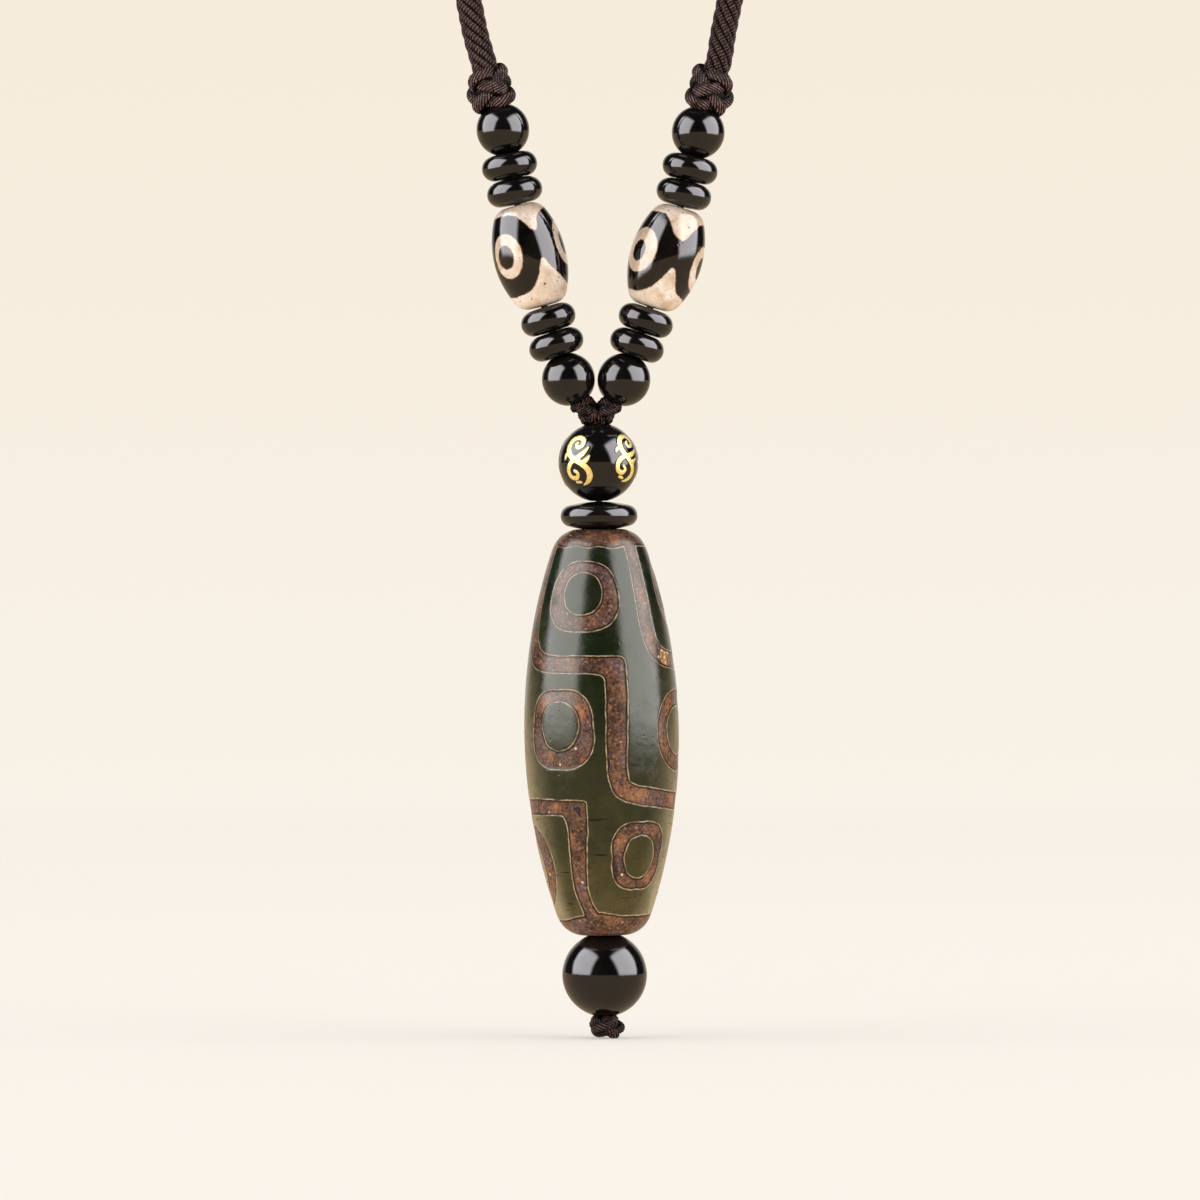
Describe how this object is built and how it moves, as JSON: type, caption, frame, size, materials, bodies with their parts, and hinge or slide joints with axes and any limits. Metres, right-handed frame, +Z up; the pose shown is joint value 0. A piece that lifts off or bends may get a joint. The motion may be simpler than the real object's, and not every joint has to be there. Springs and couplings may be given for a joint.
{
  "type": "bead necklace",
  "caption": "Hanging bead necklace: a laid neck cord with woven knots, side strands of black and banded beads, and a pendant string with a large barrel-shaped dzi bead.",
  "frame": {"origin": "the spot at the nape of the neck where the neck cord rests, on the cord's inner side", "axes": "+Z up, -Y the front of the wearer, +X the wearer's left"},
  "size_m": [0.1198, 0.1349, 0.3157],
  "materials": {
    "laid_cord": "waxed laid cord, dark brown, soft sheen",
    "thread": "twisted dark brown thread",
    "black_agate": "polished black agate, opaque",
    "banded_agate": "polished agate, black with cream bands",
    "green_agate": "polished dark green agate with rust-brown bands"
  },
  "bodies": {
    "root": {"neck_cord": "laid_cord", "upper_knot_left": "laid_cord", "upper_knot_right": "laid_cord", "thread_left": "thread", "thread_right": "thread", "thread_pendant": "thread", "round_left_top": "black_agate", "disc_left_1": "black_agate", "disc_left_2": "black_agate", "barrel_left": "banded_agate", "disc_left_3": "black_agate", "disc_left_4": "black_agate", "round_left_low": "black_agate", "round_right_top": "black_agate", "disc_right_1": "black_agate", "disc_right_2": "black_agate", "barrel_right": "banded_agate", "disc_right_3": "black_agate", "disc_right_4": "black_agate", "round_right_low": "black_agate", "junction_knot_left": "thread", "junction_knot_right": "thread", "scroll_bead": "black_agate", "centre_disc": "black_agate", "main_dzi": "green_agate", "drop_bead": "black_agate", "end_knot": "thread"}
  },
  "joints": []
}
